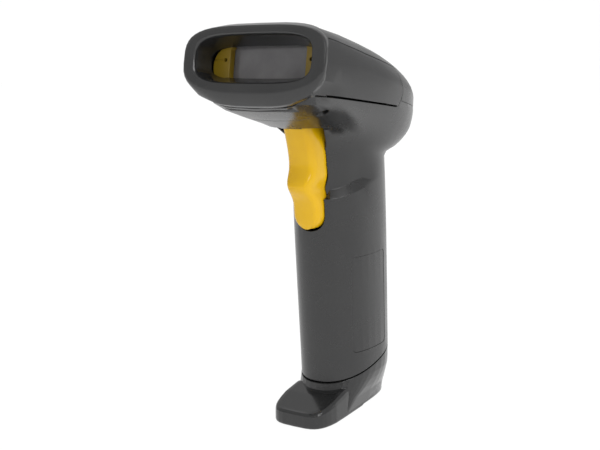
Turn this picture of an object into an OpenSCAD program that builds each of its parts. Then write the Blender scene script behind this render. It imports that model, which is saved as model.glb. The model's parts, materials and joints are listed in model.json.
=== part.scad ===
// Handheld barcode scanner that stands on a boot-shaped foot. Millimetres, +Z up, front towards -Y.
// The origin is on the base plane, under the axis of the grip.

/* [Grip] */
// Width of the grip just above the foot
grip_w = 33.6; // [32:0.1:35.5]
// Depth of the grip, front to back
grip_d = 47; // [46:0.1:49.5]
// Height where the grip starts to flare into the head
neck_z = 112; // [111:0.5:114]

/* [Head] */
// Distance from the grip's axis forward to the centre of the hood's face
rim_forward = 61.1; // [58:0.1:63]
// Height of the centre of the hood's face
rim_z = 157.2; // [155.2:0.1:158.8]
// Upward tilt of the head
head_tilt = 11.7; // [10.2:0.1:13.2]
// Length of the head along its tilted axis
head_l = 103; // [101:0.5:105]
// Width of the head behind the rim
head_w = 65; // [63.5:0.1:67.5]
// Height of the crown over the head's axis, behind the rim
crown_h = 18.4; // [17.6:0.1:19.2]
// How much the crown falls towards the tail
crown_fall = 9; // [8:0.1:10]
// How far the wings of the hood reach back from its face
wing_l = 67; // [64:0.5:69]

/* [Hood] */
// Width of the flared rim
rim_w = 70.2; // [69:0.1:72]
// Height of the flared rim
rim_h = 30.4; // [29.6:0.1:31.2]
// Width of the mouth inside the rim
mouth_w = 57.5; // [55.5:0.1:59]
// Thickness of the rim over the mouth
brow_h = 3.8; // [3.2:0.1:4.4]
// Thickness of the lip under the mouth
lip_h = 7.4; // [6.6:0.1:8]
// Depth of the bezel behind the rim's face
bezel_u = 11; // [10.2:0.1:12.5]
// Width of the scan window's opening in the bezel
pane_w = 38; // [34:0.1:41]

/* [Trigger] */
// Width of the trigger
trigger_w = 15.5; // [14.5:0.1:16.5]
// Height of the trigger's lower tip
tip_z = 84.6; // [82:0.1:86]
// Furthest reach of the trigger's ridge in front of the grip's axis
ridge_y = 34; // [32.5:0.1:35]
// Turn of the trigger when fully pulled, in degrees
pull = 4.5; // [3:0.1:5]

/* [Foot] */
// Width of the foot at the base
foot_w = 28.6; // [28:0.1:30]
// Reach of the toe in front of the grip's axis
toe_y = 41.8; // [39.8:0.1:44]
// Reach of the heel behind the grip's axis
heel_y = 21.4; // [21:0.1:22.5]
// Height of the toe
toe_h = 7.4; // [6.8:0.1:8]
// Height of the seam between grip and foot, at the grip's axis
seam_z = 20.2; // [19:0.1:20.8]
// Rise of the seam towards the rear, as a slope
seam_rise = 0.23; // [0.17:0.01:0.27]

/* [Cable socket] */
// Width of the socket's opening
socket_w = 12; // [10:0.1:12.6]
// Height of the socket's opening
socket_h = 6.2; // [5.6:0.1:6.5]

/* [Shells] */
// Wall thickness of the mouldings
wall = 2.2; // [1.8:0.1:2.5]
// Gap at the seams between mouldings
seam = 0.3; // [0.2:0.05:0.4]

/* [Hidden] */
$fn = 24;

// Clearances: parts that are held still, and parts that run
slip = 0.15;
run = 0.08;
slot_gap = 0.35;
// Shapes of the sections
grip_n = 2.25;
grip_back = 0.6;
grip_lean = 1.3;
neck_waist = 0.3;
crown_n = 3.6;
rim_rise = 0;
tail_n = 2.6;
part_v = -6.2;
part_gap = 0.12;
head_mid = 34;
wing_low = -10.4;
// Rim of the hood, which stands out in front of the head
rim_out = 1.6;
rim_depth = 5.4;
bezel_at = bezel_u - rim_out;
tail_u = head_l - rim_out;
wing_u = wing_l - rim_out;
// Finger scoop beside the trigger
scoop = 2.4;
scoop_low = neck_z - 14.5;
scoop_high = neck_z + 10;
// Trigger and its switch
pivot = [0, -17, neck_z + 13.5];
pin_r = 1.5;
trigger_top = neck_z + 16.3;
trigger_back = -19;
bracket_y = -2;
bracket_top = pivot[2] + 4.8;
switch_z = pivot[2] - 12.5;
plunger_tip = -11;
spring_z = neck_z - 15;
// Boards
board_y = 5;
board_t = 1.6;
chassis_v = -9.6;
plate_t = 2;
underside_u = 19.5;
underside_x = 22;
underside_v = -11.6;
underside_lines = [5.7, 17.4];
rear_boss = [16.5, 60];
bracket_boss = [[12.9, -22], [12.9, -12.5]];
// Foot
pad = 0.4;
wedge_front = -7.8;
wedge_rise = 0.33;
foot_boss = [8.5, 11.85 - grip_d / 2];
jack_back = grip_d / 2 - 7.2;
socket_z = 1.8;
// Plan of the foot: roundness of its ends, where it is widest, and how much slimmer the heel is
toe_n = 4;
heel_n = 5;
foot_mid = -20;
foot_slim = 0.28;

function smooth(t) = t * t * (3 - 2 * t);
function mix(a, b, t) = a + (b - a) * t;
function clamp(t) = min(1, max(0, t));
function power(x, n) = sign(x) * pow(abs(x), n);
function super(a, n) = [power(cos(a), 2 / n), power(sin(a), 2 / n)];

// Point given across, along and above the head's axis, in the part's own frame
function head_point(p) = [
    p[0],
    -rim_forward + (p[1] + rim_out) * cos(head_tilt) + p[2] * sin(head_tilt),
    rim_z - (p[1] + rim_out) * sin(head_tilt) + p[2] * cos(head_tilt)
];

// Frame of the head: Y runs back along its axis, from the front of the head behind the rim
module in_head() {
    translate([0, -rim_forward, rim_z]) rotate([-head_tilt, 0, 0]) translate([0, rim_out, 0]) children();
}

// Side view (along, up) drawn across the whole width
module across(w) {
    rotate([90, 0, 90]) translate([0, 0, -w / 2]) linear_extrude(w) children();
}

module both_sides() {
    children();
    mirror([1, 0, 0]) children();
}

// Solid through a list of rings with the same number of points
module loft(rings) {
    n = len(rings[0]);
    m = len(rings);
    sides = [
        for (k = [0 : m - 2], i = [0 : n - 1])
            let (a = k * n + i, b = k * n + (i + 1) % n)
                each [[a, a + n, b], [b, a + n, b + n]]
    ];
    ends = [[for (i = [0 : n - 1]) i], [for (i = [n - 1 : -1 : 0]) (m - 1) * n + i]];
    polyhedron([for (r = rings) each r], concat(sides, ends));
}

// A moulding with a free-form skin, taken as one piece
module moulded() {
    resize([0, 0, 0]) children();
}

// Depth of the finger scoop at one point of the grip
function scoop_at(y, z) =
    scoop * clamp((z - scoop_low) / 1.3) * smooth(clamp((scoop_high - z) / 16)) * smooth(clamp((2 - y) / 11));
// Rise of the scoop's lower ledge towards the rear, shared out over the rings beside it
function ledge_rise(y, z) =
    0.22 * (clamp((y + 21) / 27) * 27) * min(clamp((z - 88) / (scoop_low - 88)), clamp((neck_z - z) / (neck_z - scoop_low - 1.3)));

// Forward swell of the grip towards the trigger
function lean(z) = grip_lean * clamp((z - 10) / 80);

// Outline of the grip at one height
function grip_ring(z, inset, n) = let (
        swell = 1 + 0.028 * smooth(clamp((z - 10) / 75)),
        waist = neck_waist * smooth(clamp((z - 86) / (neck_z - 86))),
        w = grip_w / 2 * swell - inset - 0.5 * waist,
        front = grip_d / 2 * swell - grip_back - inset + lean(z),
        rear = grip_d / 2 * swell + grip_back - inset - waist
    ) [
        for (i = [0 : n - 1])
            let (s = super(360 * i / n, grip_n), y = (s[1] < 0 ? front : rear) * s[1], d = scoop_at(y, z))
                [(w - d) * s[0], y + (y < 0 ? d * abs(s[1]) : 0), z + ledge_rise(y, z)]
    ];

// Outline of the head where its halves part
function part_ring(inset, n) = [
    for (i = [0 : n - 1])
        let (
            a = 360 * i / n,
            s = super(a, sin(a) < 0 ? 4.6 : tail_n),
            l = sin(a) < 0 ? head_mid - 1 - inset : tail_u - head_mid - inset
        ) head_point([(head_w / 2 - inset) * s[0], head_mid + l * s[1], part_v])
];

// One ring of the neck, from the grip (t = 0) to the parting of the head (t = 1)
function neck_ring(low, high, t, n) = [
    for (i = [0 : n - 1])
        let (
            a = 360 * i / n,
            front = pow((1 - sin(a)) / 2, 2.2),
            back = pow((1 + sin(a)) / 2, 2),
            keel = smooth(pow(min(1, t / (0.735 + 0.36 * (1 - front))), 1.75)),
            flank = smooth(pow(min(1, t / 0.95), 1.4)),
            stern = (1 - pow(1 - min(1, t / 0.64), 2)) * smooth(min(1, t / 0.18)),
            g = mix(mix(flank, stern, back), keel, front),
            y = mix(low[i][1], high[i][1], g),
            z = mix(low[i][2], high[i][2], t)
        ) [mix(low[i][0], high[i][0], g), y, z]
];

// Rings from the base of the grip up past the parting of the head
function hull_rings(inset, n, z0, steps) = let (
        low = grip_ring(neck_z, inset, n),
        high = part_ring(inset, n)
    ) concat(
        [for (z = [z0, 26, 52, 76, 88]) grip_ring(z, inset, n)],
        [for (z = [scoop_low, scoop_low + 1.3, scoop_low + 5, scoop_low + 10]) grip_ring(z, inset, n)],
        [for (k = [0 : steps]) neck_ring(low, high, k / steps, n)],
        [[for (p = high) p + 6 * [0, sin(head_tilt), cos(head_tilt)]]]
    );
module hull_skin(inset, n, z0, steps) {
    loft(hull_rings(inset, n, z0, steps));
}

// Upper half of the head along its axis
function tail(u, from, n) = pow(1 - pow(clamp((u - from) / (tail_u - from)), n), 1 / n);
function head_half_w(u) = head_w / 2 * tail(u, head_mid, tail_n);
function head_top(u) =
    (crown_h - part_v - crown_fall * pow(max(0, u) / tail_u, 1.35) - 4.6 * pow(max(0, 1 - u / 18), 2)) * tail(u, 38, 2.1);
// Inward slope of the wings' lower edge, which meets the rounded corner of the rim
function tuck(u) = 0.8 * (1 - smooth(clamp(u / 20)));
function head_ring(u, inset, n, skirt) = let (
        w = max(0.1, head_half_w(u) - inset),
        h = max(0.1, head_top(u) - inset),
        crown = mix(2.7, crown_n, smooth(clamp(u / 24)))
    ) concat(
        [for (i = [0 : n]) let (s = super(180 * i / n, crown)) [-w * s[0], u, part_v + h * s[1]]],
        skirt > 0 ? concat(
            [for (d = [0.25, 0.5, 1] * skirt) [w - tuck(u) * d, u, part_v - d]],
            [for (d = [1, 0.5, 0.25] * skirt) [tuck(u) * d - w, u, part_v - d]]
        ) : []
    );
module head_skin(inset, n, stations, u0, skirt) {
    u1 = tail_u - inset - 0.01;
    along = concat([u0, 4, 8, 12], [for (k = [1 : stations]) let (u = u1 * sin(90 * k / stations)) if (u > 14) u]);
    in_head() loft([for (u = along) head_ring(u, inset, n, skirt)]);
}

// Side view of a wing of the hood
module wing_outline() {
    offset(r = 4) offset(delta = -4) polygon([
        [0, wing_low - 1.4], [wing_u - 3, wing_low + 1.4], [wing_u + 1.5, -2], [wing_u - 5, 7.2], [38, 8.5], [22, 9.8],
        [9.3, 11.3], [0, 13]
    ]);
}
// Side view of all of the hood: its rim and a wing
module hood_outline() {
    offset(r = -0.6) offset(r = 0.6) union() {
        translate([-rim_out - 5, -30]) square([rim_depth + 5, 60]);
        wing_outline();
    }
}
module hood_cut() {
    in_head() across(100) offset(delta = seam) hood_outline();
}

// Rim of the hood, and the mouth inside it, at a depth behind the rim's face
function rim_ring(d, back, n) = let (
        lip = 4 * (1 - sqrt(1 - pow(clamp(1 - d / 4.5), 2))) + 0.3 * clamp(d - 4.6),
        top = d < 1.2 ? -back : 0.35 * (d - 1.2)
    ) [
        for (i = [0 : n - 1])
            let (a = 360 * i / n, s = super(a, sin(a) > 0 ? 3.7 : 2.75))
                [-(rim_w / 2 - back) * s[0], d - rim_out, rim_rise + (rim_h / 2 + (s[1] > 0 ? top : -lip)) * s[1]]
    ];
function mouth_ring(d, grow, n) = let (
        t = clamp(d / bezel_u),
        w = mix(mouth_w / 2, mouth_w / 2 - 0.6, t) + grow,
        hi = mix(rim_rise + rim_h / 2 - brow_h, 8.3, t) + grow,
        lo = mix(rim_rise - rim_h / 2 + lip_h, -5.1, t) - grow
    ) [
        for (i = [0 : n - 1])
            let (s = super(360 * i / n, 3.8)) [-w * s[0], d - rim_out, (hi + lo) / 2 + (hi - lo) / 2 * s[1]]
    ];

// Front view of the trigger as [height above the tip, half width, reach in front of the ridge's foot]
trigger_l = trigger_top - tip_z;
function trigger_half_w(h) = let (
        tongue = trigger_w / 2 - 0.8,
        tip = h < tongue ? tongue * pow(1 - pow(1 - h / tongue, 2.4), 1 / 2.4) : tongue,
        waist = 1.1 * exp(-pow((h - 17.8) / 3.6, 2)),
        shoulder = 0.3 * smooth(clamp((h - 14) / 10))
    ) max(1.2, tip - waist + shoulder);
function trigger_front(h) = let (
        ridge = (ridge_y - 29) * exp(-pow((h - 18.3) / 4.8, 2)),
        beak = 3.6 * pow(clamp((h - 27) / (trigger_l - 27)), 1.8),
        scooped = 2.5 * smooth(clamp((h - 15) / 9)),
        tip = 1.2 * (1 - smooth(clamp(h / 5)))
    ) -28.2 - ridge - beak - scooped + tip;
trigger_heights = [
    0, 0.6, 1.6, 3.2, 5.4, 8, 11, 13.4, 15.2, 16.8, 18.3, 19.8, 21.4, 23.4, 26, 29, 32, 35, 38, 41, trigger_l
];
function trigger_ring(h, n) = let (w = trigger_half_w(h), front = trigger_front(h)) [
    for (i = [0 : n - 1])
        let (s = super(360 * i / n, 4.2), l = s[1] < 0 ? -21 - front : trigger_back + 21) [w * s[0], -21 + l * s[1], tip_z + h]
];
module trigger_outline(gap) {
    offset(delta = gap) polygon(concat(
        [for (h = trigger_heights) [trigger_half_w(h), tip_z + h]],
        [for (k = [len(trigger_heights) - 1 : -1 : 0]) [-trigger_half_w(trigger_heights[k]), tip_z + trigger_heights[k]]]
    ));
}

// Side views of the foot
module foot_side(gap) {
    polygon([
        [-60, -5], [-60, seam_z - 60 * seam_rise - gap], [60, seam_z + 60 * seam_rise - gap], [60, -5]
    ]);
}
module wedge_side(gap) {
    polygon([
        [wedge_front + gap / wedge_rise, -5], [wedge_front + gap / wedge_rise, 0],
        [60, wedge_rise * (60 - wedge_front) - gap], [60, -5]
    ]);
}
// Ring of the foot; the toe climbs towards the grip, and the base gets slimmer towards the heel
function foot_ring(z, w, front, rear, nf, nr, climb, slim, n) = let (mid = slim * foot_mid) [
    for (i = [0 : n - 1])
        let (
            a = 360 * i / n,
            s = super(a, sin(a) < 0 ? nf : nr),
            y = mid + (sin(a) < 0 ? front + mid : rear - mid) * s[1]
        ) [
            w * s[0] * (1 - foot_slim * slim * clamp((y + 28) / 50)),
            y,
            z * (1 + climb * clamp((y + toe_y - 2) / 18))
        ]
];
// Toe and collar of the foot
module foot_skin(inset, n) {
    w = foot_w / 2 - inset;
    grip = grip_w / 2 - inset;
    gf = grip_d / 2 - grip_back - inset;
    gr = grip_d / 2 + grip_back - inset;
    toe = toe_y - inset;
    heel = heel_y - inset;
    bottom = pad + inset;
    top = toe_h - inset;
    loft([
        foot_ring(bottom, w - 0.7, toe - 0.7, heel - 0.7, toe_n, heel_n, 0, 1, n),
        foot_ring(bottom + 0.4, w - 0.2, toe - 0.2, heel - 0.2, toe_n, heel_n, 0, 1, n),
        foot_ring(bottom + 1, w, toe, heel, toe_n, heel_n, 0, 1, n),
        foot_ring(top - 3, w - 0.1, toe, heel - 0.5, toe_n, heel_n, 0.42, 1, n),
        foot_ring(top - 1.3, w - 0.2, toe - 0.1, heel - 1.5, toe_n, heel_n, 0.6, 1, n),
        foot_ring(top - 0.6, w - 0.5, toe - 0.35, heel - 3, toe_n, heel_n, 0.68, 1, n),
        foot_ring(top - 0.15, w - 1.2, toe - 0.9, heel - 5, toe_n, heel_n, 0.74, 1, n),
        foot_ring(top, w - 2.8, toe - 2, heel - 8, toe_n, heel_n, 0.75, 1, n)
    ]);
    loft([
        foot_ring(bottom, w - 0.9, gf + 1, heel - 0.7, 2.4, heel_n, 0, 1, n),
        foot_ring(bottom + 1, w - 0.2, gf + 1.6, heel, 2.4, heel_n, 0, 1, n),
        foot_ring(toe_h, mix(w, grip, 0.35), gf + 1.6, mix(heel, gr, 0.3), grip_n, 3.6, 0, 0.65, n),
        foot_ring(toe_h + 2.8, mix(w, grip, 0.6), gf + 1.4, mix(heel, gr, 0.45), grip_n, 3, 0, 0.4, n),
        foot_ring(toe_h + 6, mix(w, grip, 0.85), gf + 0.8, mix(heel, gr, 0.6), grip_n, 2.6, 0, 0.2, n),
        foot_ring(toe_h + 9, mix(w, grip, 0.97), gf + 0.25, mix(heel, gr, 0.8), grip_n, 2.35, 0, 0.05, n),
        foot_ring(toe_h + 12, grip, gf, mix(heel, gr, 0.95), grip_n, grip_n, 0, 0, n),
        foot_ring(seam_z + 3, grip, gf, gr, grip_n, grip_n, 0, 0, n),
        foot_ring(seam_z + 10, grip, gf, gr, grip_n, grip_n, 0, 0, n)
    ]);
}

// Screw with its head's underside at the origin, pointing up
module screw(r, l) {
    difference() {
        union() {
            translate([0, 0, -1.4]) cylinder(r = 1.75 * r, h = 1.4, $fn = 16);
            translate([0, 0, -0.1]) cylinder(r = r, h = l + 0.1, $fn = 14);
        }
        translate([-r, -0.3, -1.5]) cube([2 * r, 0.6, 0.8]);
    }
}

// Body: grip, neck and lower half of the head, with the bosses and rails inside it
module body_shell() {
    color("dimgray") moulded() difference() {
        union() {
            difference() {
                hull_skin(0, 36, 4, 12);
                hull_skin(wall, 18, 3, 6);
            }
            intersection() {
                hull_skin(0.7, 18, 4, 6);
                body_bosses();
            }
        }
        hood_cut();
        in_head() translate([-60, -20, part_v - part_gap]) cube([120, 150, 60]);
        across(100) foot_side(-seam);
        // Slot of the trigger
        translate([0, trigger_back + 3, 0]) rotate([90, 0, 0]) linear_extrude(40) {
            trigger_outline(slot_gap);
            translate([0, -0.8]) trigger_outline(slot_gap);
        }
        // Flats beside the trigger's upper end
        both_sides() translate([0, 0, scoop_low + 6]) linear_extrude(trigger_top + 0.8 - scoop_low - 6)
            polygon([[5, trigger_back - 3], [trigger_w / 2 + 0.6, trigger_back - 3], [15.5, -36], [15.5, -50], [5, -50]]);
        // Recesses of the underside screws
        both_sides() in_head() translate([underside_x, underside_u, 0]) {
            translate([0, 0, -40]) cylinder(r = 2.4, h = 40 + underside_v, $fn = 20);
            translate([0, 0, -30]) cylinder(r = 1.4, h = 30, $fn = 12);
        }
        both_sides() in_head() translate([rear_boss[0], rear_boss[1], chassis_v - 5]) cylinder(r = 1, h = 10, $fn = 12);
        both_sides() for (b = bracket_boss) translate([b[0], b[1], bracket_top - 4.2]) cylinder(r = 1, h = 10, $fn = 12);
        both_sides() translate([foot_boss[0], foot_boss[1], 5]) cylinder(r = 1.25, h = 18, $fn = 12);
        // Fine lines across the underside
        difference() {
            in_head() for (u = underside_lines) translate([-17, u, -40]) cube([34, 0.45, 36]);
            hull_skin(0.3, 36, 4, 12);
        }
        // Field of the rating plate
        difference() {
            label_field(0);
            hull_skin(0.45, 36, 4, 12);
        }
    }
}
module body_bosses($fn = 10) {
    both_sides() in_head() {
        translate([underside_x, underside_u, -30]) cylinder(r = 3.8, h = 30 + chassis_v);
        translate([rear_boss[0], rear_boss[1], -30]) cylinder(r = 3, h = 30 + chassis_v);
    }
    both_sides() {
        for (b = bracket_boss) translate([b[0], b[1], neck_z - 10]) cylinder(r = 2.6, h = bracket_top - 1.8 - neck_z + 10);
        translate([foot_boss[0], foot_boss[1], 10]) cylinder(r = 3, h = 16);
        translate([foot_boss[0], foot_boss[1] - 1, 10]) cube([8, 2, 16]);
        // Rails for the main board
        for (y = [board_y - slip - 1, board_y + board_t + slip])
            translate([10.5, y, 26]) cube([8, 1, neck_z - 28]);
    }
}
module label_field(gap) {
    translate([5, 0, 0]) rotate([90, 0, 90]) linear_extrude(20) offset(r = 2) offset(delta = -2 - gap)
        translate([-14.5, 28]) square([24, 43]);
}

module rating_plate() {
    color("#222222") moulded() intersection() {
        difference() {
            hull_skin(0.1, 36, 4, 12);
            hull_skin(0.42, 36, 3, 12);
        }
        label_field(0.1);
    }
}

// Crown and tail of the head, with clips that hook into the body
module top_cover() {
    color("dimgray") moulded() difference() {
        union() {
            difference() {
                head_skin(0, 22, 20, 0, 0);
                head_skin(wall, 12, 10, -1, 10);
            }
            both_sides() in_head() translate([head_half_w(72) - wall - 3.4, 69, part_v - 4]) {
                cube([0.9, 6, 7]);
                translate([0, 0, 4.2]) cube([4.2, 6, 2.8]);
            }
        }
        hood_cut();
        status_hole(slip);
    }
}
module status_hole(gap) {
    in_head() hull() both_sides() translate([2.2, 70, 5]) cylinder(r = 1.5 + gap, h = 20);
}

// Hood: rim, lip, mouth and wings in one moulding
module front_hood() {
    color("gray") moulded() difference() {
        union() {
            intersection() {
                difference() {
                    head_skin(0, 22, 20, 0, 12);
                    head_skin(wall, 12, 20, -1, 12);
                }
                in_head() across(100) wing_outline();
            }
            in_head() loft([
                rim_ring(0, 1.5, 44), rim_ring(0.2, 0.8, 44), rim_ring(0.6, 0.25, 44), rim_ring(1.2, 0, 44),
                rim_ring(2.4, 0.15, 44), rim_ring(3.3, 0.7, 44), rim_ring(4.2, 1.1, 44), rim_ring(rim_depth, 1.3, 44)
            ]);
            in_head() loft([mouth_ring(1, 1, 40), mouth_ring(bezel_u - 0.3, 1.6, 40)]);
        }
        in_head() loft([
            mouth_ring(-0.1, 0.8, 40), mouth_ring(0.3, 0.35, 40), mouth_ring(0.9, 0.1, 40), mouth_ring(1.8, 0, 40),
            mouth_ring(bezel_u, 0, 40), mouth_ring(bezel_u + 5, 0, 40)
        ]);
    }
}

module optic_bezel() {
    color("gold") in_head() difference() {
        translate([0, bezel_at + 3, 0]) rotate([90, 0, 0]) linear_extrude(3) offset(r = 7.7, $fn = 32) offset(delta = -7.7)
            translate([1.2 - mouth_w / 2, -7.4]) square([mouth_w - 2.4, 15.7]);
        translate([0, bezel_at + 4, 0]) rotate([90, 0, 0]) linear_extrude(5) pane_outline(0);
        both_sides() translate([pane_w / 2 + 2.4, bezel_at - 1, 3]) rotate([-90, 0, 0]) cylinder(r = 0.8, h = 5);
        both_sides() translate([pane_w / 2 + 3, bezel_at - 1, 2.9]) cube([12, 1.25, 0.25]);
    }
}
module pane_outline(gap) {
    offset(r = 1.5) offset(delta = -1.5 - gap) translate([-pane_w / 2, -5]) square([pane_w, 13.4]);
}
module scan_window() {
    color("lightblue", 0.4) in_head() translate([0, bezel_at + 4.5, 0]) rotate([90, 0, 0]) linear_extrude(1.5 - slip)
        offset(delta = 1.6) pane_outline(0);
}

module trigger() {
    color("gold") difference() {
        union() {
            moulded() difference() {
                loft([for (h = trigger_heights) trigger_ring(h, 20)]);
                translate([0, trigger_back - 3, spring_z]) rotate([-90, 0, 0]) cylinder(r = 3.1, h = 5, $fn = 24);
                // Room for the bracket's plates
                both_sides() translate([6.3, trigger_back - 1.8, pivot[2] - 4]) cube([4, 4, 12]);
            }
            translate([-5.6, trigger_back - 1.5, pivot[2] - 3.2]) cube([11.2, 2.6, 5.6]);
            translate([-6.3, pivot[1], pivot[2]]) rotate([0, 90, 0]) cylinder(r = 2.6, h = 12.6);
            translate([-2.5, trigger_back - 1, switch_z - 2.5]) cube([5, plunger_tip - slot_gap - trigger_back + 1, 5]);
        }
        translate([-20, pivot[1], pivot[2]]) rotate([0, 90, 0]) cylinder(r = pin_r + run, h = 40);
    }
}
module trigger_pin() {
    color("silver") translate([-8.8, pivot[1], pivot[2]]) rotate([0, 90, 0]) cylinder(r = pin_r, h = 17.6);
}
module trigger_bracket() {
    color("darkgray") difference() {
        union() {
            translate([-9.5, bracket_y, spring_z - 8]) cube([19, 2, bracket_top - spring_z + 8]);
            translate([-14.6, -24.2, bracket_top - 1.8]) cube([29.2, 15.2, 1.8]);
            translate([-9.5, -10, bracket_top - 1.8]) cube([19, 10, 1.8]);
            both_sides() translate([6.7, pivot[1] - 3, pivot[2] - 3]) cube([1.9, 17, bracket_top - pivot[2] + 3]);
            translate([0, bracket_y - 4, spring_z]) rotate([-90, 0, 0]) cylinder(r = 1.5, h = 5);
        }
        translate([-20, pivot[1], pivot[2]]) rotate([0, 90, 0]) cylinder(r = pin_r, h = 40);
        both_sides() for (b = bracket_boss) translate([b[0], b[1], bracket_top - 5]) cylinder(r = 1.4, h = 10);
    }
}
module bracket_screws() {
    color("silver") both_sides() for (b = bracket_boss)
        translate([b[0], b[1], bracket_top]) rotate([180, 0, 0]) screw(0.9, 4);
}
// Coil of the return spring along Y, in one unbroken tube
spring_turns = 7;
spring_wire = 0.3;
spring_r = 2.3;
spring_from = trigger_back - 2.95;
spring_to = bracket_y - 0.05;
module trigger_spring() {
    steps = spring_turns * 10;
    color("silver") loft([
        for (k = [0 : steps])
            let (
                a = 360 * spring_turns * k / steps,
                y = mix(spring_to - spring_wire, spring_from + spring_wire, k / steps)
            ) [
                for (j = [0 : 4])
                    let (r = spring_r + spring_wire * cos(72 * j))
                        [r * cos(a), y + spring_wire * sin(72 * j), spring_z + r * sin(a)]
            ]
    ]);
}
module switch_body() {
    color("#303030") difference() {
        translate([-5, bracket_y - 6.5, switch_z - 5]) cube([10, 6.5, 10]);
        translate([0, bracket_y - 8, switch_z]) rotate([-90, 0, 0]) cylinder(r = 1.6 + run, h = 6.9);
    }
}
module switch_plunger() {
    color("ivory") translate([0, plunger_tip, switch_z]) rotate([-90, 0, 0]) cylinder(r = 1.6, h = 6.6);
}

module main_board() {
    color("darkgreen") translate([-11, board_y, 25]) cube([22, board_t, neck_z - 16]);
}
module board_chips() {
    color("#202020") translate([0, board_y + board_t, 0]) {
        translate([-5, 0, 78]) cube([10, 1.2, 10]);
        translate([-4, 0, 60]) cube([8, 1, 6]);
        translate([2, 0, 46]) cube([5, 1, 4]);
        translate([-8, 0, 48]) cube([4, 1.6, 4]);
    }
}
module board_connectors() {
    color("white") {
        translate([-6.5, board_y + board_t, neck_z - 8]) cube([13, 2.4, 5]);
        translate([-6.5, board_y + board_t, 27]) cube([13, 4.4, 6]);
    }
}
module sounder() {
    color("#181818") difference() {
        translate([0, board_y, 66]) rotate([90, 0, 0]) cylinder(r = 6, h = 5);
        translate([0, board_y - 4, 66]) rotate([90, 0, 0]) cylinder(r = 1.2, h = 3);
    }
}
module ribbon_cable() {
    top = head_point([0, 67.75, -3]);
    bend = head_point([0, 67.75, chassis_v]);
    y = board_y + board_t + 0.05;
    color("white") across(10) polygon([
        [top[1], top[2]], [bend[1], bend[2]], [y, neck_z + 11], [y, neck_z - 3],
        [y + 0.35, neck_z - 3], [y + 0.35, neck_z + 11.1], [bend[1] + 0.37, bend[2] + 0.1], [top[1] + 0.35, top[2] + 0.08]
    ]);
}

// Optics on one plate inside the head
module optic_chassis() {
    color("#282828") in_head() difference() {
        union() {
            translate([-20, bezel_at + 3.3, chassis_v]) cube([40, 66 - bezel_at - 3.3, plate_t]);
            translate([-24.6, underside_u - 4, chassis_v]) cube([49.2, 8, plate_t]);
            translate([-12, 54, chassis_v]) cube([24, 2.4, 16]);
        }
        translate([0, 40, 0]) rotate([-90, 0, 0]) cylinder(r = 6 + slip / 3, h = 30);
        both_sides() translate([underside_x, underside_u, -20]) cylinder(r = 1.2, h = 20);
        both_sides() translate([rear_boss[0], rear_boss[1], -20]) cylinder(r = 1.4, h = 20);
    }
}
module chassis_screws() {
    color("silver") both_sides() in_head() translate([rear_boss[0], rear_boss[1], chassis_v + plate_t])
        rotate([180, 0, 0]) screw(0.9, 6);
}
module underside_screws() {
    color("silver") both_sides() in_head() translate([underside_x, underside_u, underside_v]) screw(1.1, 5);
}
module lens_barrel() {
    color("black") in_head() translate([0, 40, 0]) rotate([-90, 0, 0]) difference() {
        union() {
            cylinder(r = 6, h = 20);
            translate([0, 0, 12]) cylinder(r = 7.4, h = 2);
        }
        translate([0, 0, -1]) cylinder(r = 4.6, h = 30);
    }
}
module imaging_lens() {
    color("lightblue", 0.5) in_head() translate([0, 42, 0]) rotate([-90, 0, 0]) rotate_extrude()
        polygon([[0, 0], [2.4, 0.35], [4.55, 1.2], [4.55, 2.6], [2.4, 3.45], [0, 3.8]]);
}
module sensor_board() {
    color("darkgreen") in_head() translate([-14, 66, chassis_v]) cube([28, board_t, 15.4]);
}
module line_sensor() {
    color("#303030") in_head() difference() {
        translate([-12, 63.8, -3]) cube([24, 2.2, 6]);
        translate([-10, 63, -0.8]) cube([20, 1.4, 1.6]);
    }
}
module light_board() {
    color("darkgreen") in_head() translate([-19, 19.4, chassis_v + plate_t]) cube([38, 1.4, 4.6]);
}
module light_leds() {
    color("red") in_head() for (x = [-15 : 6 : 15]) translate([x - 1.3, 18.2, chassis_v + plate_t + 1]) cube([2.6, 1.2, 2.4]);
}
module light_lens() {
    color("lightblue", 0.5) in_head() {
        translate([-18, 15.4, chassis_v + plate_t]) cube([36, 2.4, 2.2]);
        translate([-18, 16.6, chassis_v + plate_t + 2.2]) rotate([0, 90, 0]) cylinder(r = 1.2, h = 36);
    }
}
module status_led() {
    color("lime") in_head() translate([-1.5, 66 + board_t, 2.6]) cube([3, 1.6, 2]);
}
module status_lens() {
    color("white") moulded() intersection() {
        status_hole(0);
        head_skin(-0.1, 22, 20, 0, 0);
    }
}

// Foot, its collar round the grip's end, and the way in for the socket
module foot_cap() {
    color("#383838") moulded() difference() {
        union() {
            intersection() {
                foot_skin(0, 36);
                across(100) foot_side(0);
            }
            // Spigot that locates the grip
            difference() {
                loft([for (z = [seam_z - 6, seam_z + 5]) grip_ring(z, wall + 0.3, 18)]);
                loft([for (z = [seam_z - 7, seam_z + 6]) grip_ring(z, wall + 1.7, 18)]);
                both_sides() translate([foot_boss[0], foot_boss[1], seam_z - 8]) {
                    cylinder(r = 3.3, h = 20);
                    translate([0, -1.3, 0]) cube([8, 2.6, 20]);
                }
            }
        }
        across(100) wedge_side(0);
        // Hollow under the grip
        translate([-9.1, -1, 2.4]) cube([18.2, jack_back + 1.3, 30]);
        both_sides() translate([foot_boss[0], foot_boss[1], -1]) {
            cylinder(r = 1.4, h = 30);
            cylinder(r = 2.6, h = 6);
        }
        pad_pocket();
    }
}
module pad_pocket() {
    translate([0, 0, -1]) linear_extrude(2) offset(delta = slip) pad_outline();
}
module pad_outline() {
    translate([0, -27.5]) offset(r = 3) square([13, 9], center = true);
    translate([0, 6.5]) offset(r = 2) square([12, 13], center = true);
}
module base_pads() {
    color("#101010") linear_extrude(1) pad_outline();
}
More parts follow.
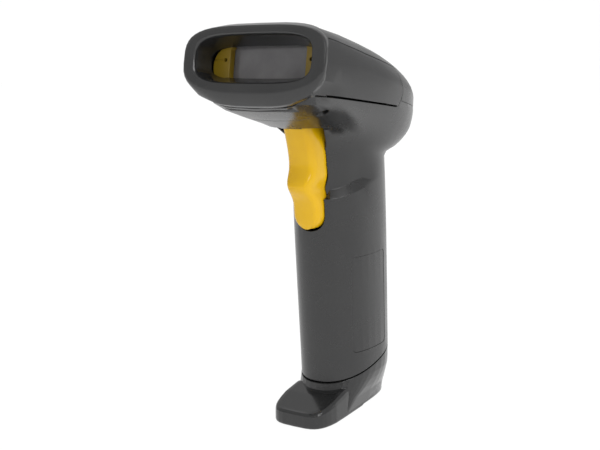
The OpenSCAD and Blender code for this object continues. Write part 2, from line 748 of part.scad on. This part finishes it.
module foot_screws() {
    color("silver") both_sides() translate([foot_boss[0], foot_boss[1], 5]) screw(1.1, 16);
}
module socket_cover() {
    color("#202020") moulded() difference() {
        intersection() {
            foot_skin(0.25, 36);
            across(100) wedge_side(seam);
        }
        translate([-7.9, -1, 1.5]) cube([15.8, jack_back + 1.2, 30]);
        translate([-socket_w / 2 - 0.3, 10, socket_z - 0.3]) cube([socket_w + 0.6, 30, socket_h + 0.6]);
        pad_pocket();
    }
}
module cable_jack() {
    color("black") difference() {
        translate([-7.6, 2.6, 1.5]) cube([15.2, jack_back - 2.6, 9.6]);
        translate([-socket_w / 2, jack_back - 12, socket_z]) cube([socket_w, 20, socket_h]);
    }
}
module jack_contacts() {
    color("gold") for (i = [-4.5 : 1 : 4.5])
        translate([i - 0.2, jack_back - 11, socket_z + socket_h - 0.7]) cube([0.4, 8, 0.7]);
}
module port_board() {
    color("darkgreen") translate([-8.5, 3, 11.1]) cube([17, 13, board_t]);
}
module board_header() {
    color("#202020") translate([-6, board_y + board_t, 11.1 + board_t]) cube([12, 2.5, 28 - 11.1 - board_t - 1.1]);
}

body_shell();
top_cover();
front_hood();
optic_bezel();
scan_window();
trigger();
trigger_pin();
trigger_bracket();
bracket_screws();
trigger_spring();
switch_body();
switch_plunger();
main_board();
board_chips();
board_connectors();
sounder();
optic_chassis();
chassis_screws();
underside_screws();
lens_barrel();
imaging_lens();
sensor_board();
line_sensor();
light_board();
light_leds();
light_lens();
ribbon_cable();
status_led();
status_lens();
foot_cap();
foot_screws();
socket_cover();
cable_jack();
jack_contacts();
port_board();
board_header();
base_pads();
rating_plate();
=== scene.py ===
import json
from math import radians

import bpy
from mathutils import Matrix, Vector

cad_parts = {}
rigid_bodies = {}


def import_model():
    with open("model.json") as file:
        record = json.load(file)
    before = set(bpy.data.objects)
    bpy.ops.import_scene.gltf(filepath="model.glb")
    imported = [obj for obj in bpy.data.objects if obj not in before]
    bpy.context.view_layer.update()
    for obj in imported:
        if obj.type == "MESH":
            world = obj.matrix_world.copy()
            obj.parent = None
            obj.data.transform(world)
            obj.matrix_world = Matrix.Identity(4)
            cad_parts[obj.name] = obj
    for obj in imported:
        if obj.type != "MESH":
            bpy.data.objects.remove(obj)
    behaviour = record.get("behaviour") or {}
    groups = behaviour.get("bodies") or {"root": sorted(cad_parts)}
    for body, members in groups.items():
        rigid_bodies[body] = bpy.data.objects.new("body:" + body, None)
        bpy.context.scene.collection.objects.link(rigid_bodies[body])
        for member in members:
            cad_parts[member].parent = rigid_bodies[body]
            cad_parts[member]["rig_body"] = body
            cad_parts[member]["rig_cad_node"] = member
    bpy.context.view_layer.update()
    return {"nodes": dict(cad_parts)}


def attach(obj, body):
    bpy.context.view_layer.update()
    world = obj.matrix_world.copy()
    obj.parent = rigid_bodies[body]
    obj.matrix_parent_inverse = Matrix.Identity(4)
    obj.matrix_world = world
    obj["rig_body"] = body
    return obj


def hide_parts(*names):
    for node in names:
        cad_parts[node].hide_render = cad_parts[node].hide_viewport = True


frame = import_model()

# Circuit boards: the main board down the grip, the sensor board in the head and the port board in the
# foot. Glass fibre laminate under green solder mask, cut from a panel and held by the screws and pads
# of the mouldings round them. The light board in the head is dressed in the black of the parts below.


def finish(name):
    """A new material with its shader, and a short way to place and wire nodes in it."""
    made = bpy.data.materials.new(name)
    made.use_nodes = True
    tree = made.node_tree
    shader = tree.nodes["Principled BSDF"]

    def add(kind, values=None, wires=None):
        node = tree.nodes.new(kind)
        for key, value in (values or {}).items():
            if isinstance(key, int) or key in node.inputs:
                node.inputs[key].default_value = value
            else:
                setattr(node, key, value)
        for key, source in (wires or {}).items():
            tree.links.new(source, node.inputs[key])
        return node

    def wire(source, target):
        tree.links.new(source, target)

    return made, shader, add, wire


def ramp(add, source, low, high, start=0.0, end=1.0):
    """A colour that runs from low to high as the source runs from start to end."""
    node = add("ShaderNodeValToRGB", wires={"Fac": source})
    node.color_ramp.elements[0].position = start
    node.color_ramp.elements[0].color = (*low, 1)
    node.color_ramp.elements[1].position = end
    node.color_ramp.elements[1].color = (*high, 1)
    return node.outputs["Color"]


def span(add, source, low, high, start=0.0, end=1.0):
    """A number that runs from low to high as the source runs from start to end."""
    node = add("ShaderNodeMapRange",
               {"From Min": start, "From Max": end, "To Min": low, "To Max": high}, {"Value": source})
    return node.outputs["Result"]


def group(name, inputs, outputs):
    """An empty shader node group with its named inputs and outputs."""
    made = bpy.data.node_groups.new(name, "ShaderNodeTree")
    for label, value in inputs:
        socket = made.interface.new_socket(label, in_out="INPUT", socket_type="NodeSocketFloat")
        socket.default_value = value
    for label, kind in outputs:
        made.interface.new_socket(label, in_out="OUTPUT", socket_type=kind)
    return made, made.nodes.new("NodeGroupInput"), made.nodes.new("NodeGroupOutput")


# Fine grain: the texture that a mould leaves on a plastic skin, as a slow mottle of the colour,
# a fine speckle and the height of the grain.
fine_grain, entry, out = group(
    "fine_grain", [("Mottle Scale", 60.0), ("Grain Scale", 1400.0)],
    [("Mottle", "NodeSocketFloat"), ("Speckle", "NodeSocketFloat"), ("Height", "NodeSocketFloat")])
place = fine_grain.nodes.new("ShaderNodeTexCoord")
for label, scale, detail in (("Mottle", "Mottle Scale", 4.0), ("Speckle", "Grain Scale", 2.0)):
    cloud = fine_grain.nodes.new("ShaderNodeTexNoise")
    cloud.inputs["Detail"].default_value = detail
    fine_grain.links.new(place.outputs["Object"], cloud.inputs["Vector"])
    fine_grain.links.new(entry.outputs[scale], cloud.inputs["Scale"])
    fine_grain.links.new(cloud.outputs["Fac"], out.inputs[label])
fine_grain.links.new(cloud.outputs["Fac"], out.inputs["Height"])


def grain(add, mottle=60.0, size=1400.0):
    """The fine grain placed in a material."""
    node = add("ShaderNodeGroup", {"node_tree": fine_grain})
    node.inputs["Mottle Scale"].default_value = mottle
    node.inputs["Grain Scale"].default_value = size
    return node.outputs


def dress(node, material):
    """A better material in the slots of a node that keeps its own shape."""
    for place in frame["nodes"][node].material_slots:
        place.material = material


board_green, shader, add, wire = finish("board_green")
skin = grain(add, 90.0, 2600.0)
place = add("ShaderNodeTexCoord")
tracks = add("ShaderNodeTexBrick", {"Scale": 260.0, "Mortar Size": 0.08, "Color1": (0.008, 0.09, 0.035, 1),
                                   "Color2": (0.011, 0.12, 0.045, 1), "Mortar": (0.004, 0.05, 0.02, 1)},
             {"Vector": place.outputs["Object"]})
wire(tracks.outputs["Color"], shader.inputs["Base Color"])
wire(span(add, skin["Mottle"], 0.28, 0.42), shader.inputs["Roughness"])
bump = add("ShaderNodeBump", {"Strength": 0.25, "Distance": 0.00004}, {"Height": tracks.outputs["Fac"]})
wire(bump.outputs["Normal"], shader.inputs["Normal"])
for node in ("main_board", "sensor_board", "port_board"):
    dress(node, board_green)

# Black parts soldered to the boards: chips, the sounder, the line sensor, the header and the
# cable jack. Filled black epoxy or nylon, matt from the mould.
chip_black, shader, add, wire = finish("chip_black")
skin = grain(add, 140.0, 3200.0)
wire(ramp(add, skin["Speckle"], (0.012, 0.012, 0.013), (0.03, 0.03, 0.031), 0.3, 0.7),
     shader.inputs["Base Color"])
wire(span(add, skin["Mottle"], 0.45, 0.62), shader.inputs["Roughness"])
bump = add("ShaderNodeBump", {"Strength": 0.2, "Distance": 0.00002}, {"Height": skin["Height"]})
wire(bump.outputs["Normal"], shader.inputs["Normal"])
for node in ("board_chips", "sounder", "line_sensor", "board_header", "cable_jack", "light_board"):
    dress(node, chip_black)

# Board connectors and the ribbon between them: moulded shells of off-white nylon, soldered to the
# boards, and a flat polyester cable that is pushed into them at its ends.
nylon_white, shader, add, wire = finish("nylon_white")
skin = grain(add, 110.0, 1800.0)
wire(ramp(add, skin["Mottle"], (0.58, 0.57, 0.53), (0.7, 0.69, 0.65), 0.3, 0.7), shader.inputs["Base Color"])
wire(span(add, skin["Speckle"], 0.38, 0.5), shader.inputs["Roughness"])
for node in ("board_connectors", "ribbon_cable"):
    dress(node, nylon_white)

# Lamps: the row of light sources that floods the code, and the status lamp under the crown. Clear
# tinted epoxy, cast round the chips and soldered to the boards.
lamp_epoxy, shader, add, wire = finish("lamp_epoxy")
skin = grain(add, 300.0, 2000.0)
wire(ramp(add, skin["Mottle"], (0.05, 0.012, 0.01), (0.09, 0.02, 0.016), 0.35, 0.65),
     shader.inputs["Base Color"])
wire(span(add, skin["Speckle"], 0.1, 0.18), shader.inputs["Roughness"])
shader.inputs["Transmission Weight"].default_value = 0.4
for node in ("light_leds", "status_led"):
    dress(node, lamp_epoxy)

# Lenses: the imaging lens in its barrel and the cylinder lens over the lamps. Clear acrylic,
# moulded with polished faces and set in the black mouldings round them.
lens_clear, shader, add, wire = finish("lens_clear")
skin = grain(add, 40.0, 900.0)
wire(ramp(add, skin["Mottle"], (0.88, 0.9, 0.93), (0.96, 0.97, 0.98), 0.3, 0.7), shader.inputs["Base Color"])
wire(span(add, skin["Speckle"], 0.015, 0.05), shader.inputs["Roughness"])
shader.inputs["Transmission Weight"].default_value = 1.0
shader.inputs["IOR"].default_value = 1.49
for node in ("imaging_lens", "light_lens"):
    dress(node, lens_clear)

# Inner mouldings: the chassis of the optics, the lens barrel, the trigger bracket and the case of
# the switch. Matt black glass-filled plastic, spark-textured so that it throws no light about.
inner_black, shader, add, wire = finish("inner_black")
skin = grain(add, 70.0, 1500.0)
wire(ramp(add, skin["Speckle"], (0.006, 0.006, 0.0065), (0.016, 0.016, 0.0165), 0.3, 0.7),
     shader.inputs["Base Color"])
wire(span(add, skin["Mottle"], 0.62, 0.8), shader.inputs["Roughness"])
bump = add("ShaderNodeBump", {"Strength": 0.3, "Distance": 0.00004}, {"Height": skin["Height"]})
wire(bump.outputs["Normal"], shader.inputs["Normal"])
for node in ("optic_chassis", "lens_barrel", "trigger_bracket", "switch_body"):
    dress(node, inner_black)

# Plunger of the switch and the light pipe of the status lamp: milky acetal and acrylic, moulded.
# The plunger slides in the case of the switch, and the light pipe sits in the top cover.
milky, shader, add, wire = finish("milky")
skin = grain(add, 120.0, 1600.0)
wire(ramp(add, skin["Mottle"], (0.66, 0.65, 0.61), (0.76, 0.75, 0.71), 0.3, 0.7), shader.inputs["Base Color"])
wire(span(add, skin["Speckle"], 0.25, 0.36), shader.inputs["Roughness"])
for node in ("switch_plunger", "status_lens"):
    dress(node, milky)

# Screws, the pin of the trigger and its spring: bright steel, turned or drawn, with fine lines
# from the tool. The screws draw the mouldings together, and the trigger hangs on the pin.
bright_steel, shader, add, wire = finish("bright_steel")
place = add("ShaderNodeTexCoord")
lie = add("ShaderNodeMapping", {"Scale": (400.0, 400.0, 6000.0)}, {"Vector": place.outputs["Object"]})
lines = add("ShaderNodeTexNoise", {"Scale": 1.0, "Detail": 3.0}, {"Vector": lie.outputs["Vector"]})
wire(ramp(add, lines.outputs["Fac"], (0.5, 0.5, 0.5), (0.64, 0.635, 0.62), 0.3, 0.7),
     shader.inputs["Base Color"])
wire(span(add, lines.outputs["Fac"], 0.22, 0.4), shader.inputs["Roughness"])
shader.inputs["Metallic"].default_value = 1.0
for node in ("bracket_screws", "chassis_screws", "underside_screws", "foot_screws",
             "trigger_pin", "trigger_spring"):
    dress(node, bright_steel)

# Contacts of the cable jack: brass stamped from strip, with a thin gilt plating, pressed into the
# jack in a row.
gilt, shader, add, wire = finish("gilt")
skin = grain(add, 400.0, 3000.0)
wire(ramp(add, skin["Mottle"], (0.7, 0.5, 0.18), (0.83, 0.63, 0.27), 0.3, 0.7), shader.inputs["Base Color"])
wire(span(add, skin["Speckle"], 0.2, 0.34), shader.inputs["Roughness"])
shader.inputs["Metallic"].default_value = 1.0
dress("jack_contacts", gilt)

# Pads under the foot: matt black rubber, die cut from sheet and stuck on, with a little dust in
# the skin.
pad_black, shader, add, wire = finish("pad_black")
skin = grain(add, 260.0, 2400.0)
wire(ramp(add, skin["Mottle"], (0.014, 0.014, 0.014), (0.035, 0.034, 0.032), 0.4, 0.75),
     shader.inputs["Base Color"])
wire(span(add, skin["Speckle"], 0.75, 0.92), shader.inputs["Roughness"])
bump = add("ShaderNodeBump", {"Strength": 0.4, "Distance": 0.00006}, {"Height": skin["Height"]})
wire(bump.outputs["Normal"], shader.inputs["Normal"])
dress("base_pads", pad_black)

# Housing: the pistol-shaped shell of the grip, neck and lower head, and the cover on its top.
# Charcoal plastic from one tool set, satin, with the edges at the seams broken by use.


def moulding(node, name, body, angle=32.0, prepare=None):
    """A copy of a node with its triangles joined, its curved skin shaded smooth and its edges kept."""
    bpy.ops.object.select_all(action="DESELECT")
    source = frame["nodes"][node]
    source.select_set(True)
    bpy.context.view_layer.objects.active = source
    bpy.ops.object.duplicate()
    piece = bpy.context.active_object
    bpy.ops.object.parent_clear(type="CLEAR_KEEP_TRANSFORM")
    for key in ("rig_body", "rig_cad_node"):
        del piece[key]
    piece.name = piece.data.name = name
    piece.data.materials.clear()
    bpy.ops.mesh.customdata_custom_splitnormals_clear()
    bpy.ops.object.mode_set(mode="EDIT")
    bpy.ops.mesh.select_all(action="SELECT")
    bpy.ops.mesh.remove_doubles(threshold=0.000003)
    bpy.ops.object.mode_set(mode="OBJECT")
    if prepare:
        prepare(piece)
    bpy.ops.object.shade_smooth_by_angle(angle=radians(angle))
    even = piece.modifiers.new("even", "WEIGHTED_NORMAL")
    even.mode = "FACE_AREA_WITH_ANGLE"
    even.keep_sharp = True
    bpy.ops.object.modifier_apply(modifier=even.name)
    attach(piece, body)
    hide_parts(node)
    return piece


def eased(value, start, end):
    """A soft step from 0 to 1 as the value runs from start to end."""
    part = min(1.0, max(0.0, (value - start) / (end - start)))
    return part * part * (3.0 - 2.0 * part)


# Broken edge: the small radius that tooling and handling leave on every corner, as a softened
# normal and a mask of the corner itself.
broken_edge, entry, out = group(
    "broken_edge", [("Radius", 0.0004)], [("Normal", "NodeSocketVector"), ("Edge", "NodeSocketFloat")])
corner = broken_edge.nodes.new("ShaderNodeBevel")
corner.samples = 6
broken_edge.links.new(entry.outputs["Radius"], corner.inputs["Radius"])
flat = broken_edge.nodes.new("ShaderNodeNewGeometry")
turn = broken_edge.nodes.new("ShaderNodeVectorMath")
turn.operation = "DOT_PRODUCT"
broken_edge.links.new(corner.outputs["Normal"], turn.inputs[0])
broken_edge.links.new(flat.outputs["Normal"], turn.inputs[1])
worn = broken_edge.nodes.new("ShaderNodeMapRange")
worn.inputs["From Min"].default_value = 0.995
worn.inputs["From Max"].default_value = 0.9
broken_edge.links.new(turn.outputs["Value"], worn.inputs["Value"])
broken_edge.links.new(corner.outputs["Normal"], out.inputs["Normal"])
broken_edge.links.new(worn.outputs["Result"], out.inputs["Edge"])


def plastic(name, dark, light, worn, rough, radius=0.0004, mottle=60.0, size=1400.0, relief=0.00002):
    """A moulded plastic: mottled colour, lighter broken edges, uneven gloss and a fine relief."""
    made, shader, add, wire = finish(name)
    skin = grain(add, mottle, size)
    rim = add("ShaderNodeGroup", {"node_tree": broken_edge})
    rim.inputs["Radius"].default_value = radius
    base = ramp(add, skin["Mottle"], dark, light, 0.3, 0.7)
    tint = add("ShaderNodeMix", {"data_type": "RGBA"})
    wire(span(add, rim.outputs["Edge"], 0.0, 0.35), tint.inputs[0])
    wire(base, tint.inputs[6])
    tint.inputs[7].default_value = (*worn, 1)
    wire(tint.outputs[2], shader.inputs["Base Color"])
    wire(span(add, skin["Mottle"], rough[0], rough[1], 0.3, 0.7), shader.inputs["Roughness"])
    bump = add("ShaderNodeBump", {"Strength": 0.35, "Distance": relief},
               {"Height": skin["Height"], "Normal": rim.outputs["Normal"]})
    wire(bump.outputs["Normal"], shader.inputs["Normal"])
    return made, shader


# The head looks down a little, so its forms are found by their depth behind the face of the rim and
# their level above the middle of the mouth.
mouth_y, mouth_z = -0.0611, 0.1572
tilt_cos, tilt_sin = 0.97922, 0.20279
lip_middle, lip_corner = 0.016, 0.024


def in_head(spot):
    """The depth and the level of a vertex in the head."""
    y, z = spot.co.y - mouth_y, spot.co.z - mouth_z
    return y * tilt_cos - z * tilt_sin, y * tilt_sin + z * tilt_cos


ledge_lift = 0.0024
cheek_trim, cheek_top = 0.0015, 0.12905
seam_opening = 0.00045
lip_edge_drop = 0.0008


def shape_body(piece):
    """The ledge by the trigger eased, the cheeks above it trimmed, the foot's seam opened, and the
    edge under the lip lowered."""
    for spot in piece.data.vertices:
        x, y, z = abs(spot.co.x), spot.co.y, spot.co.z
        ledge = 0.0988 + 0.235 * (y + 0.0198)
        if -0.021 < y < -0.004 and abs(z - ledge) < 0.00025 and x - 0.45 * y > 0.0166:
            spot.co.z += ledge_lift
        if 0.0095 < x < 0.0145 and -0.031 < y < -0.0262 and 0.124 < z < 0.1287:
            spot.co.z = min(z + cheek_trim, cheek_top)
        if abs(spot.co.z - 0.0205 - 0.23 * spot.co.y) < 0.00004:
            spot.co.z += seam_opening
        depth, level = in_head(spot)
        if 0.0055 < depth < 0.0059 and level < -0.0152:
            drop = lip_edge_drop * eased(x, lip_corner, lip_middle)
            spot.co.y -= drop * tilt_sin
            spot.co.z -= drop * tilt_cos


housing_charcoal, shader = plastic("housing_charcoal", (0.0095, 0.0096, 0.0099), (0.013, 0.0131, 0.0134),
                                   (0.028, 0.028, 0.028), (0.23, 0.3), 0.00025)
shader.inputs["IOR"].default_value = 1.64
for node, name, prepare in (("body_shell", "grip_and_body", shape_body), ("top_cover", "head_cover", None)):
    piece = moulding(node, name, "housing", prepare=prepare)
    piece.data.materials.append(housing_charcoal)

# Front hood: the flared rim round the mouth with a wing down each side, one semi-gloss charcoal
# moulding that hooks over the body and hides the screws under it.


lip_roll, lip_roll_more = 0.0013, 0.0008
mouth_floor_rise = 0.00045
wing_rise = 0.0004
skin_half_width, rim_share_in = 0.0325, 0.85


def shape_hood(piece):
    """The lip rolled down to meet the body, the floor of the mouth raised to the pane, the wings
    lifted off the seam, and the sides of the rim drawn in behind its face."""
    for spot in piece.data.vertices:
        x, reach = spot.co.x, abs(spot.co.x)
        depth, level = in_head(spot)
        rise = 0.0
        if -0.0001 < depth < 0.0056 and level < -0.0085:
            lower = lip_roll + lip_roll_more * eased(reach, lip_corner, lip_middle)
            rise = -lower * eased(depth, -0.0004, 0.0024) * eased(level, -0.0085, -0.0125)
        elif 0.0104 < depth < 0.0113 and -0.0056 < level < -0.0046:
            rise = mouth_floor_rise
        elif 0.0106 < depth < 0.063 and abs(level + 0.0118 - 0.04487 * (depth - 0.0016)) < 0.00008:
            rise = wing_rise
        if 0.0022 < depth < 0.0055 and reach > skin_half_width:
            inward = rim_share_in * (reach - skin_half_width)
            inward *= eased(depth, 0.0022, 0.0054) * eased(abs(level), 0.012, 0.009)
            spot.co.x -= inward if x > 0 else -inward
        spot.co.y += max(0.0, rise) * tilt_sin
        spot.co.z += rise * tilt_cos


hood_charcoal, shader = plastic("hood_charcoal", (0.013, 0.0131, 0.0134), (0.0175, 0.0176, 0.0179),
                                (0.025, 0.025, 0.025), (0.2, 0.27), 0.0002)
shader.inputs["IOR"].default_value = 1.62
piece = moulding("front_hood", "hood", "housing", 28.0, shape_hood)
piece.data.materials.append(hood_charcoal)

# Foot: the boot-shaped cap under the grip and the small cover behind it that closes the cable
# socket. Semi-gloss charcoal, screwed up into the grip from below.


def even_toe(piece):
    """The broad top of the toe cut into a fine net inside its rounded edge, so that it shines evenly."""
    for face in piece.data.polygons:
        on_toe = face.center.y < -0.0205 and 0.006 < face.center.z < 0.0132
        face.select = on_toe and face.normal.z > 0.955
    bpy.ops.object.mode_set(mode="EDIT")
    bpy.ops.mesh.select_mode(type="FACE")
    bpy.ops.mesh.inset(thickness=0.0006, use_boundary=True)
    bpy.ops.mesh.subdivide(number_cuts=7)
    bpy.ops.object.mode_set(mode="OBJECT")


foot_charcoal, shader = plastic("foot_charcoal", (0.011, 0.0111, 0.0113), (0.0145, 0.0146, 0.0148),
                                (0.03, 0.03, 0.03), (0.1, 0.15))
shader.inputs["IOR"].default_value = 1.58
for node, name, prepare in (("foot_cap", "foot", even_toe), ("socket_cover", "socket_door", None)):
    piece = moulding(node, name, "housing", 30.0, prepare)
    piece.data.materials.append(foot_charcoal)

# Side plate: the shallow panel let into the side of the grip. A bare satin film, die cut and stuck
# down in a recess of the housing.
plate_film, shader = plastic("plate_film", (0.0115, 0.0116, 0.0119), (0.015, 0.0151, 0.0154),
                             (0.03, 0.03, 0.03), (0.24, 0.31), 0.0003, 45.0, 2200.0)
shader.inputs["IOR"].default_value = 1.62
piece = moulding("rating_plate", "side_plate", "housing")
piece.data.materials.append(plate_film)

# Trigger and the frame of the window: yellow plastic, coloured all through, glossy on the trigger
# and satin on the frame. The trigger hangs on its pin, and the frame sits in the mouth of the hood.
# The frame's yellow is painted far darker than the trigger's, as painted shade for the shadow in the mouth.
trigger_lift = 0.0006


def lift_trigger(piece):
    """The top of the trigger drawn up under the body."""
    for spot in piece.data.vertices:
        if spot.co.y < -0.024:
            spot.co.z += trigger_lift * eased(spot.co.z, 0.124, 0.1275)


gloss_yellow, shader = plastic("gloss_yellow", (0.67, 0.375, 0.002), (0.73, 0.435, 0.004),
                               (0.74, 0.48, 0.03), (0.12, 0.18), 0.0005, 45.0, 700.0, 0.000012)
shader.inputs["IOR"].default_value = 1.42
piece = moulding("trigger", "pull_trigger", "trigger", 38.0, lift_trigger)
piece.data.materials.append(gloss_yellow)
# Painted shade: the frame takes the trigger's yellow about three times darker, for the shadow inside the
# mouth of the hood; only its satin gloss is its own.
satin_painted_shade_yellow, _ = plastic("satin_painted_shade_yellow", (0.2, 0.13, 0.002), (0.23, 0.15, 0.003),
                          (0.26, 0.17, 0.02), (0.24, 0.34), 0.0005, 45.0, 700.0, 0.000012)
piece = moulding("optic_bezel", "window_frame", "housing", 30.0)
piece.data.materials.append(satin_painted_shade_yellow)

# Scan window: a flat pane of smoke-tinted acrylic, cut from sheet and set behind its frame, with a
# few wiped smudges.
pane_smoke, shader, add, wire = finish("pane_smoke")
skin = grain(add, 55.0, 320.0)
wire(ramp(add, skin["Mottle"], (0.19, 0.185, 0.19), (0.31, 0.303, 0.31), 0.4, 0.8),
     shader.inputs["Base Color"])
wire(span(add, skin["Speckle"], 0.02, 0.16, 0.5, 0.75), shader.inputs["Roughness"])
shader.inputs["Transmission Weight"].default_value = 0.35
shader.inputs["IOR"].default_value = 1.5
piece = moulding("scan_window", "window_pane", "housing", 30.0)
piece.data.materials.append(pane_smoke)

# Stage: a wide pale floor and a backdrop behind the object, white where the camera sees them and where
# reflections and glass see the floor, the backdrop dimmer in reflections, with the soft shadow of the foot
# left on the floor.
glow_share, camera_white = 0.93, 1.04
for name, spot, turn, size, mirrored in (
        ("floor", (0, 0, 0), (0, 0, 0), 12.0, 1.0),
        ("backdrop", (-1.72, 2.4, 2.99), (radians(90), 0, radians(35.6)), 6.0, 0.7)):
    white, shader, add, wire = finish(name + "_white")
    shader.inputs["Base Color"].default_value = (0.97, 0.97, 0.97, 1)
    shader.inputs["Roughness"].default_value = 1.0
    shader.inputs["Specular IOR Level"].default_value = 0.0
    seen = add("ShaderNodeLightPath")
    either = add("ShaderNodeMath", {"operation": "MAXIMUM"},
                 {0: seen.outputs["Is Camera Ray"], 1: seen.outputs["Is Glossy Ray"]})
    any_ray = add("ShaderNodeMath", {"operation": "MAXIMUM"},
                  {0: either.outputs[0], 1: seen.outputs["Is Transmission Ray"]})
    share = add("ShaderNodeMath", {"operation": "MULTIPLY", 1: glow_share}, {0: any_ray.outputs[0]})
    glow = add("ShaderNodeEmission", {"Color": (1, 1, 1, 1)})
    wire(span(add, seen.outputs["Is Camera Ray"], mirrored, camera_white), glow.inputs["Strength"])
    mixed = add("ShaderNodeMixShader", {},
                {0: share.outputs[0], 1: shader.outputs["BSDF"], 2: glow.outputs["Emission"]})
    wire(mixed.outputs["Shader"], white.node_tree.nodes["Material Output"].inputs["Surface"])
    bpy.ops.object.select_all(action="DESELECT")
    bpy.ops.mesh.primitive_plane_add(size=size, location=spot, rotation=turn)
    sheet = bpy.context.active_object
    sheet.name = name
    sheet.data.materials.append(white)

# Room and lamps: an even, plain room, a weak lamp from the front left, a wide one overhead that lights
# the floor, and a card at the right whose reflection lifts the edges that face it.
room = bpy.data.worlds.new("room")
bpy.context.scene.world = room
room.use_nodes = True
background = room.node_tree.nodes["Background"]
background.inputs["Color"].default_value = (1, 1, 1, 1)
background.inputs["Strength"].default_value = 0.58


def softbox(name, place, aim, size, power):
    """A square lamp at a place, turned to face a point."""
    bpy.ops.object.select_all(action="DESELECT")
    bpy.ops.object.light_add(type="AREA", location=place)
    lamp = bpy.context.active_object
    lamp.name = name
    lamp.data.shape = "SQUARE"
    lamp.data.size = size
    lamp.data.energy = power
    lamp.visible_glossy = False
    lamp.rotation_euler = (Vector(aim) - Vector(place)).to_track_quat("-Z", "Y").to_euler()
    return lamp


softbox("key_left", (-0.5, -1.3, 0.6), (0, 0, 0.1), 1.0, 1.5)
softbox("top", (0.3, 0.2, 1.5), (0, -0.1, 0.0), 1.2, 14.0)
softbox("card_right", (0.92, -0.42, 0.75), (0, 0, 0.1), 0.7, 6.0).visible_glossy = True

# Camera: the photograph's own angle, fitted to the outline of the object, with a long lens and no
# depth of field.
bpy.ops.object.select_all(action="DESELECT")
bpy.ops.object.camera_add(location=(0.26770943, -0.40527852, 0.1740362))
camera = bpy.context.active_object
camera.name = "camera"
right, up, back = ((0.81643618, 0.57632239, -0.0358395), (-0.0780934, 0.17169979, 0.98204919),
                   (0.57213057, -0.79898165, 0.1851889))
camera.matrix_world = Matrix.Translation(camera.location) @ Matrix((right, up, back)).transposed().to_4x4()
camera.data.sensor_width = 36.0
camera.data.lens = 66.135
camera.data.clip_start = 0.01
bpy.context.scene.camera = camera
bpy.context.scene.view_settings.view_transform = "Standard"
